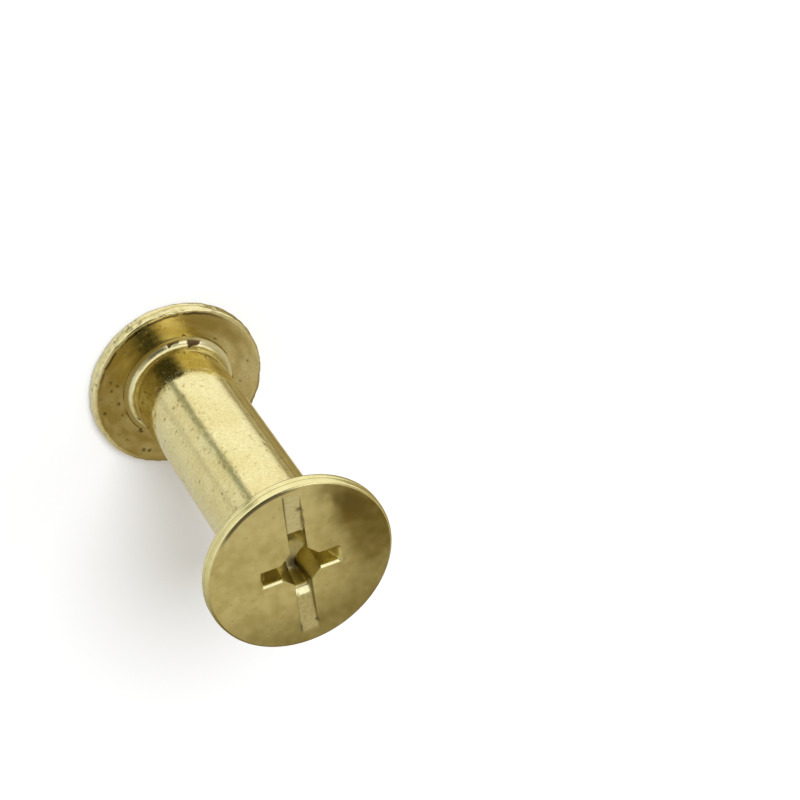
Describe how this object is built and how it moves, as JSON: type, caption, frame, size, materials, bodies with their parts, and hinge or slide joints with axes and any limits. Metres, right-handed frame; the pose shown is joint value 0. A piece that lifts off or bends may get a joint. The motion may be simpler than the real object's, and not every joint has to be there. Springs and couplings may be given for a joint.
{
  "type": "two-piece screw post",
  "caption": "Flat-headed barrel with a blind bore, closed by a flat-headed screw with a combined slot and cross drive, for clamping drilled sheets between the heads.",
  "frame": {"origin": "centre of the outer face of the barrel's head, on which the post stands", "axes": "+Z along the post's axis from the barrel's head to the screw's head; the straight slot runs along X"},
  "size_m": [0.012, 0.012, 0.0222],
  "materials": {
    "barrel": "bright plating, nicked at the rim",
    "screw": "satin face, bright rim"
  },
  "bodies": {
    "barrel": {"barrel": "barrel"},
    "screw": {"screw": "screw"}
  },
  "joints": [
    {"name": "screw_travel", "type": "slide", "parent": "barrel", "child": "screw", "axis": [0, 0, 1], "range_m": [0, 0.012]}
  ]
}
